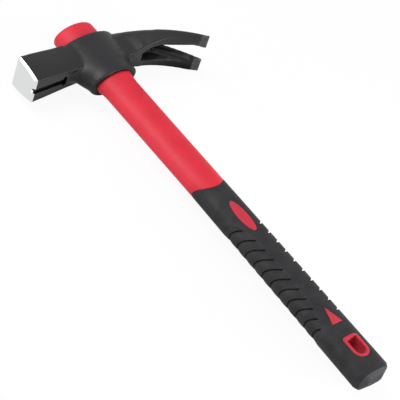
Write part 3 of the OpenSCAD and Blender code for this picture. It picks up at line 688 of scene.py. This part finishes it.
def groove_shape(grip, turn, row):
    """Depth of the panels at a turn and a row, and how much of a panel lies there."""
    near = nearest_groove(grip, row)
    off = abs(row - near)
    reach, square = PANEL_TOP if row < PANEL_MIDDLE else PANEL_LOW
    aside = (math.pi - abs(turn)) / grip.panel_arc
    border = (aside ** square + (abs(row - PANEL_MIDDLE) / reach) ** square) ** (1 / square)
    panel = 1 - eased((border - 1) / PANEL_FADE + 1)
    half = groove_half(grip)
    lip = clamped((off - half) / (0.5 - half))
    groove = grip.groove_depth * (1 - eased((off / half - 1) / GROOVE_WALL + 1))
    depth = panel * (grip.recess + grip.pillow * (1 - math.sin(lip * math.pi / 2)) + groove)
    if row < 0 and aside < 1:
        # A shallow line arches over the upper end of the panel
        arch = PANEL_MIDDLE - reach * (1 - aside ** square) ** (1 / square)
        line = math.exp(-((row - arch) * grip.pitch / ARCH_HALF) ** 2)
        depth += ARCH_SHARE * grip.groove_depth * line
    if near < grip.notches:
        notched = 1 - eased((abs(turn) - grip.notch_arc) / NOTCH_FADE + 1)
        wide = grip.notch_width / grip.pitch / 2
        depth += notched * grip.notch_depth * clamped((1 - off / wide) / NOTCH_WALL)
    return depth, panel


# Each plate is the outline of an inlay on the near cheek, widened by a gap, as one flat face
def oval_plate(inlay, gap):
    bm = bmesh.new()
    bmesh.ops.create_circle(bm, cap_ends=True, segments=INLAY_SEGMENTS, radius=0.5)
    bmesh.ops.scale(bm, verts=bm.verts, vec=(inlay.oval_width + 2 * gap, inlay.oval_length + 2 * gap, 1))
    bmesh.ops.translate(bm, verts=bm.verts, vec=(0, -inlay.oval_drop, 0))
    return bm


def arrow_plate(inlay, gap):
    bm = bmesh.new()
    half = inlay.arrow_width / 2 + gap
    base = -inlay.arrow_drop - inlay.arrow_length - gap
    corners = ((0, -inlay.arrow_drop + 2 * gap, 0), (-half, base, 0), (half, base, 0))
    bm.faces.new([bm.verts.new(corner) for corner in corners])
    rounded(bm, bm.verts[:], inlay.arrow_corner, 4, "VERTICES")
    return bm


def liner_plate(inlay, gap):
    bm = bmesh.new()
    middle = inlay.liner_width / 2 - inlay.liner_drop - inlay.liner_length
    start = bm.verts.new((-inlay.liner_width / 2 - gap, middle, 0))
    bmesh.ops.spin(bm, geom=[start], cent=(0, middle, 0), axis=(0, 0, 1), angle=math.pi, steps=32)
    ends = [v for v in bm.verts if len(v.link_edges) == 1]
    flat = bmesh.ops.extrude_vert_indiv(bm, verts=ends)["verts"]
    bmesh.ops.translate(bm, verts=flat, vec=(0, gap - inlay.liner_drop - middle, 0))
    bmesh.ops.contextual_create(bm, geom=bm.edges[:])
    rounded(bm, flat, inlay.liner_corner, 6, "VERTICES")
    return bm


def thickened(bm, low, high):
    """Raises a flat face into a plate between two heights."""
    bmesh.ops.translate(bm, verts=bm.verts, vec=(0, 0, low))
    raised = bmesh.ops.extrude_face_region(bm, geom=bm.faces[:], use_keep_orig=True)["geom"]
    bmesh.ops.translate(bm, verts=verts_of(raised), vec=(0, 0, high - low))
    bmesh.ops.recalc_face_normals(bm, faces=bm.faces)


# Loops of the grip's rounded upper edge: drop below the edge and inset
UPPER_EDGE = ((0, 0.3 * MM), (0.12 * MM, 0.1 * MM), (0.35 * MM, 0))
# The butt's loops in millimetres: height above its end, insets along and across the head, added squareness.
# Two loops on each side of a corner keep the facets flat and their edges crisp
BUTT_LOOPS = (
    (6.2, 0, 0, 0), (5.7, 0, 0, 0), (5.5, 0.01, 0, 0), (5.25, 0.14, 0.02, 0.06), (5.05, 0.3, 0.047, 0.12),
    (4.6, 0.68, 0.107, 0.25), (3.2, 1.85, 0.293, 0.65), (2.7, 2.27, 0.36, 0.8), (2.52, 2.42, 0.4, 0.85),
    (2.33, 2.62, 0.54, 0.85), (2.2, 2.9, 0.817, 0.85), (1.95, 3.4, 1.338, 0.85), (0.45, 6.5, 4.463, 0.85),
    (0.2, 7.0, 4.983, 0.85), (0.06, 7.25, 5.23, 0.85), (0, 7.4, 5.4, 0.85), (0, 7.55, 5.55, 0.85),
    (0.5, 7.7, 5.7, 0.85), (0.5, 7.9, 5.9, 0.85), (0, 8.05, 6.05, 0.85), (0, 8.25, 6.25, 0.85))
# Loops beside a groove: within it in half widths, and on the rib in rows
GROOVE_LOOPS = (0, 0.25, 0.4, 0.55, 0.7, 0.85, 1.0, 1.25)
RIB_LOOPS = (0.14, 0.19, 0.25, 0.31, 0.37, 0.43)
# Loops on each smooth stretch above and below the panels, and the share of the lower one that they cover
SMOOTH_LOOPS = 16
LOWER_SHARE = 0.97
# The seats are cut through the grip's wall, down into the bore for the tang
SEAT_FLOOR = 2 * MM


class HAMMER_OT_grip(bpy.types.Operator):
    """Moulds the soft grip with its ribs, notches and crowned butt, and cuts the seats of the inlays"""
    bl_idname = "hammer.grip"
    bl_label = "Soft grip"

    def loops(self, grip):
        """The grip's loops from its upper edge down: the stretch where each lies, and its place there."""
        half = groove_half(grip)
        steps = [half * place for place in GROOVE_LOOPS] + [*RIB_LOOPS]
        steps = sorted({-s for s in steps} | set(steps) | {-0.5})
        outer = [0.5 + s / 10 for s in range(1, 6)]
        rows = [-s for s in reversed(outer)] + [k + s for k in range(grip.grooves) for s in steps]
        rows += [grip.grooves - 1 + s for s in (0.5, *outer)]
        shares = [s / SMOOTH_LOOPS for s in range(1, SMOOTH_LOOPS + 1)]
        stretches = (("edge", UPPER_EDGE), ("upper", shares[:-1]), ("panel", rows), ("lower", shares),
                     ("butt", BUTT_LOOPS))
        return [(stretch, place) for stretch, places in stretches for place in places]

    def drop_of_row(self, grip, turn, row):
        """Drop of a row at a turn. The rows spread towards the claw side, where the notches are wider."""
        near = nearest_groove(grip, row)
        off = row - near
        wide = mix(1, grip.notch_width / grip.groove_width, eased(math.cos(turn)))
        inner = groove_half(grip) * GROOVE_LOOPS[-1]
        if abs(off) < inner:
            off *= wide
        else:
            off = math.copysign(inner * wide + (abs(off) - inner) * (0.5 - inner * wide) / (0.5 - inner), off)
        return (grip.first_groove + grip.pitch * (near + off) + groove_bend(grip, turn)
                + grip.notch_shift * (1 + math.cos(turn)) / 2)

    def cut_seats(self, context, bm):
        """The grip with the inlays' seats and the hang hole cut out."""
        grip, handle = context.scene.hammer_grip, context.scene.hammer_handle
        reach = grip.butt_width
        seats = bmesh.new()
        mesh = bpy.data.meshes.new("seats")
        for outline, low in ((oval_plate, SEAT_FLOOR), (arrow_plate, SEAT_FLOOR), (liner_plate, -reach)):
            plate = outline(context.scene.hammer_inlays, handle.bond)
            thickened(plate, low, reach)
            plate.to_mesh(mesh)
            seats.from_mesh(mesh)
            if low > 0:
                bmesh.ops.transform(plate, matrix=Matrix.Scale(-1, 4, (0, 0, 1)), verts=plate.verts)
                bmesh.ops.reverse_faces(plate, faces=plate.faces)
                plate.to_mesh(mesh)
                seats.from_mesh(mesh)
            plate.free()
        seats.to_mesh(mesh)
        seats.free()
        cutter = bpy.data.objects.new("seats", mesh)
        context.scene.collection.objects.link(cutter)
        bm = reshaped(bm, "BOOLEAN", operation="DIFFERENCE", solver="EXACT", object=cutter)
        bpy.data.objects.remove(cutter)
        bpy.data.meshes.remove(mesh)
        return bm

    def execute(self, context):
        grip, handle = context.scene.hammer_grip, context.scene.hammer_handle
        loops = self.loops(grip)
        lip = UPPER_EDGE[-1][0]
        butt_start = grip.butt_drop - BUTT_LOOPS[0][0] * MM
        bm = bmesh.new()
        bmesh.ops.create_cone(bm, cap_ends=False, segments=GRIP_SEGMENTS, radius1=1, radius2=1, depth=1)
        uprights = [e for e in bm.edges if abs(e.verts[0].co.z - e.verts[1].co.z) > 0.5]
        bmesh.ops.subdivide_edges(bm, edges=uprights, cuts=len(loops) - 2)
        top_loop = [e for e in bm.edges if e.is_boundary and all(v.co.z > 0 for v in e.verts)]
        panel_layer = bm.verts.layers.float.new("panel")
        run_layer = bm.verts.layers.float.new("rib_run")
        first_row, *_, last_row = (place for stretch, place in loops if stretch == "panel")
        for v in bm.verts:
            stretch, place = loops[round((0.5 - v.co.z) * (len(loops) - 1))]
            turn = math.atan2(v.co.y, v.co.x)
            edge = grip.upper_drop + grip.dip * math.sin(turn) ** 2
            depth = panel = added = 0.0
            inset = (0.0, 0.0)
            if stretch == "edge":
                drop, inset = edge + place[0], (place[1],) * 2
            elif stretch == "upper":
                drop = mix(edge + lip, self.drop_of_row(grip, turn, first_row), place)
            elif stretch == "panel":
                drop = self.drop_of_row(grip, turn, place)
                depth, panel = groove_shape(grip, turn, place)
            elif stretch == "lower":
                drop = mix(self.drop_of_row(grip, turn, last_row), butt_start, place * LOWER_SHARE)
            else:
                height, along, across, added = place
                drop, inset = grip.butt_drop - height * MM, (along * MM, across * MM)
            claw, face, half, square = grip_section(grip, drop)
            power = 2 / (square + added)
            c, s = math.cos(turn), math.sin(turn)
            v.co = (math.copysign(abs(c) ** power, c) * ((claw if c > 0 else face) - inset[0]) - depth * c,
                    -drop,
                    math.copysign(abs(s) ** power, s) * (half - inset[1]) - depth * s)
            v[panel_layer] = panel
            v[run_layer] = drop - groove_bend(grip, turn)
        tang = (handle.tang_length / 2 + handle.bond, handle.tang_width / 2 + handle.bond)
        tang_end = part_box("handle_jacket")[0].y - HEAD_MIDDLE.y - handle.bond
        for y in (None, tang_end):
            grown = bmesh.ops.extrude_edge_only(bm, edges=top_loop)["geom"]
            top_loop = rim_of(grown)
            for v in verts_of(grown):
                t = math.atan2(v.co.z / tang[1], v.co.x / tang[0])
                v.co = (tang[0] * math.cos(t), v.co.y if y is None else y, tang[1] * math.sin(t))
                v[panel_layer] = 0
        bmesh.ops.holes_fill(bm, edges=[e for e in bm.edges if e.is_boundary], sides=0)
        bmesh.ops.recalc_face_normals(bm, faces=bm.faces)
        bm = self.cut_seats(context, bm)
        rubber = moulded_rubber(context.scene.hammer_finishes)
        hand_over(bm, "moulded_grip", rubber, "rubber_grip", crease=48)
        return {"FINISHED"}


# Height of an inlay's flat plate before it is bent to the cheek, and how deep its upper side reaches
PLATE_TOP = 9 * MM
UPPER_SIDE = 1 * MM
# Strips on each side of the middle that follow the cheek's curve
CROWN_STRIPS = 6


def crowned_on_grip(bm, grip, inlay):
    """Rounds the rim of a flat plate and bends its upper side to the grip's cheek, standing proud of it."""
    rim = [e for e in bm.edges if all(v.co.z > PLATE_TOP - LEVEL for v in e.verts)
           and any(f.normal.z < 0.5 for f in e.link_faces)]
    rounded(bm, rim, inlay.rim, 4)
    reach = max(abs(v.co.x) for v in bm.verts)
    for k in range(1 - CROWN_STRIPS, CROWN_STRIPS):
        bmesh.ops.bisect_plane(bm, geom=bm.verts[:] + bm.edges[:] + bm.faces[:], dist=MERGE / 10,
                               plane_co=(reach * k / CROWN_STRIPS, 0, 0), plane_no=(1, 0, 0))
    for v in bm.verts:
        if v.co.z > PLATE_TOP - UPPER_SIDE:
            v.co.z += grip_cheek(grip, v.co.x, v.co.y) + inlay.proud - PLATE_TOP


class HAMMER_OT_inlays(bpy.types.Operator):
    """Moulds the oval and the triangle on both cheeks of the grip"""
    bl_idname = "hammer.inlays"
    bl_label = "Red inlays"

    def execute(self, context):
        grip, inlay = context.scene.hammer_grip, context.scene.hammer_inlays
        red = moulded_elastomer(context.scene.hammer_finishes)
        for side, place in ((1, "near"), (-1, "far")):
            for outline, shape in ((oval_plate, "oval"), (arrow_plate, "arrow")):
                bm = outline(inlay, 0)
                thickened(bm, inlay.floor, PLATE_TOP)
                crowned_on_grip(bm, grip, inlay)
                if side < 0:
                    bmesh.ops.transform(bm, matrix=Matrix.Scale(-1, 4, (0, 0, 1)), verts=bm.verts)
                bmesh.ops.recalc_face_normals(bm, faces=bm.faces)
                hand_over(bm, f"{shape}_inlay_{place}_moulded", red, f"{shape}_inlay_{place}")
        return {"FINISHED"}


class HAMMER_OT_liner(bpy.types.Operator):
    """Moulds the D-shaped liner of the hang hole"""
    bl_idname = "hammer.liner"
    bl_label = "Hang hole liner"

    def execute(self, context):
        grip, inlay = context.scene.hammer_grip, context.scene.hammer_inlays
        bm = liner_plate(inlay, 0)
        inner = bm.faces[:]
        bmesh.ops.inset_region(
            bm, faces=inner, use_boundary=True, thickness=inlay.liner_wall, use_even_offset=True)
        bmesh.ops.delete(bm, geom=inner, context="FACES")
        raised = bmesh.ops.extrude_face_region(bm, geom=bm.faces[:])["geom"]
        bmesh.ops.translate(bm, verts=verts_of(raised), vec=(0, 0, PLATE_TOP))
        flat = [f for f in bm.faces if all(abs(v.co.z) < LEVEL for v in f.verts)]
        bmesh.ops.delete(bm, geom=flat, context="FACES_ONLY")
        bmesh.ops.recalc_face_normals(bm, faces=bm.faces)
        crowned_on_grip(bm, grip, inlay)
        # One half is modelled on the near cheek and mirrored to the far one
        bmesh.ops.mirror(bm, geom=bm.verts[:] + bm.edges[:] + bm.faces[:], axis="Z", merge_dist=MERGE)
        bmesh.ops.remove_doubles(bm, verts=bm.verts, dist=MERGE)
        bmesh.ops.recalc_face_normals(bm, faces=bm.faces)
        red = moulded_elastomer(context.scene.hammer_finishes)
        hand_over(bm, "hang_hole_liner_moulded", red, "hang_hole_liner")
        return {"FINISHED"}


class HAMMER_OT_hidden_parts(bpy.types.Operator):
    """Finishes the nail magnet, the core and the resin, whose solids stay as they are"""
    bl_idname = "hammer.hidden_parts"
    bl_label = "Magnet, core and resin"

    def execute(self, context):
        finishes = {"nail_magnet": plated_nickel, "handle_core": pultruded_glass, "eye_epoxy": poured_epoxy}
        for node, make in finishes.items():
            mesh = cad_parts[node].data
            material = make(context.scene.hammer_finishes)
            if mesh.materials:
                mesh.materials[0] = material
            else:
                mesh.materials.append(material)
        return {"FINISHED"}


def seen_rays(tree):
    """1 for the rays that show a surface, straight, in a gloss or through glass, and 0 for the others."""
    path = add(tree, "ShaderNodeLightPath").outputs
    rays = {0: path["Is Camera Ray"], 1: path["Is Glossy Ray"]}
    seen = add(tree, "ShaderNodeMath", rays, operation="MAXIMUM")
    return add(tree, "ShaderNodeMath", {0: seen, 1: path["Is Transmission Ray"]}, operation="MAXIMUM")


class HAMMER_OT_stage(bpy.types.Operator):
    """Lays the pale floor, hangs the lamps and sets the camera"""
    bl_idname = "hammer.stage"
    bl_label = "Stage"

    def lay_floor(self, context, stage):
        bm = bmesh.new()
        bmesh.ops.create_grid(bm, x_segments=2, y_segments=2, size=FLOOR_HALF)
        bmesh.ops.translate(bm, verts=bm.verts, vec=(0, 0, CAD_BOX[0].z - FLOOR_GAP))
        mesh = bpy.data.meshes.new("floor")
        bm.to_mesh(mesh)
        bm.free()
        floor = bpy.data.objects.new("floor", mesh)
        context.scene.collection.objects.link(floor)
        # Matt white paper: it shows as plain white, and keeps a faint shadow
        material, tree, _ = finish_of("matt_white_paper")
        glows = add(tree, "ShaderNodeMath", {0: seen_rays(tree), 1: stage.floor_glow}, operation="MULTIPLY")
        paper = add(tree, "ShaderNodeBsdfDiffuse", {"Color": stage.floor_white})
        glow = add(tree, "ShaderNodeEmission", {"Color": (1, 1, 1, 1), "Strength": 1.0})
        surface = add(tree, "ShaderNodeMixShader", {0: glows, 1: paper, 2: glow})
        add(tree, "ShaderNodeOutputMaterial", {"Surface": surface})
        mesh.materials.append(material)

    def light(self, context, stage):
        world = bpy.data.worlds.new("studio")
        context.scene.world = world
        world.use_nodes = True
        tree = world.node_tree
        tree.nodes.clear()
        level = add(tree, "ShaderNodeMapRange", {
            "Value": seen_rays(tree), "To Min": stage.ambient, "To Max": 1.0})
        sky = add(tree, "ShaderNodeBackground", {"Color": (1, 1, 1, 1), "Strength": level})
        add(tree, "ShaderNodeOutputWorld", {"Surface": sky})
        middle = (CAD_BOX[0] + CAD_BOX[1]) / 2
        for name, side, place in LAMPS:
            offset = Vector(place)
            data = bpy.data.lights.new(name, "AREA")
            data.energy, data.size = getattr(stage, f"{name}_watts"), side
            lamp = bpy.data.objects.new(name, data)
            lamp.location = middle + offset
            lamp.rotation_euler = (-offset).to_track_quat("-Z", "Y").to_euler()
            context.scene.collection.objects.link(lamp)

    def execute(self, context):
        stage = context.scene.hammer_stage
        self.lay_floor(context, stage)
        self.light(context, stage)
        data = bpy.data.cameras.new("camera")
        data.lens = stage.lens
        camera = bpy.data.objects.new("camera", data)
        camera.location = stage.camera_at
        camera.rotation_euler = stage.camera_turn
        context.scene.collection.objects.link(camera)
        context.scene.camera = camera
        context.scene.view_settings.view_transform = "Standard"
        return {"FINISHED"}


OPERATORS = (HAMMER_OT_forged_head, HAMMER_OT_eye_cap, HAMMER_OT_jacket, HAMMER_OT_grip, HAMMER_OT_inlays,
             HAMMER_OT_liner, HAMMER_OT_hidden_parts, HAMMER_OT_stage)
GROUPS = {"hammer_head": HammerHeadSizes, "hammer_handle": HammerHandleSizes, "hammer_grip": HammerGripSizes,
          "hammer_inlays": HammerInlaySizes, "hammer_finishes": HammerFinishes, "hammer_stage": HammerStage}


class HAMMER_PT_build(bpy.types.Panel):
    """Lists the hammer's pieces, sizes and colours"""
    bl_label = "Framing hammer"
    bl_space_type = "VIEW_3D"
    bl_region_type = "UI"
    bl_category = "Hammer"

    def draw(self, context):
        for operator in OPERATORS:
            self.layout.operator(operator.bl_idname)
        for name, group in GROUPS.items():
            box = self.layout.box()
            box.label(text=group.__doc__)
            for key in group.__annotations__:
                box.prop(getattr(context.scene, name), key)


def register():
    for cls in (*GROUPS.values(), *OPERATORS, HAMMER_PT_build):
        bpy.utils.register_class(cls)
    for name, group in GROUPS.items():
        setattr(bpy.types.Scene, name, bpy.props.PointerProperty(type=group))


def unregister():
    for name in GROUPS:
        delattr(bpy.types.Scene, name)
    for cls in (HAMMER_PT_build, *reversed(OPERATORS), *reversed(GROUPS.values())):
        bpy.utils.unregister_class(cls)


def main():
    register()
    bpy.ops.hammer.forged_head()
    bpy.ops.hammer.eye_cap()
    bpy.ops.hammer.jacket()
    bpy.ops.hammer.grip()
    bpy.ops.hammer.inlays()
    bpy.ops.hammer.liner()
    bpy.ops.hammer.hidden_parts()
    bpy.ops.hammer.stage()


if __name__ == "__main__":
    main()
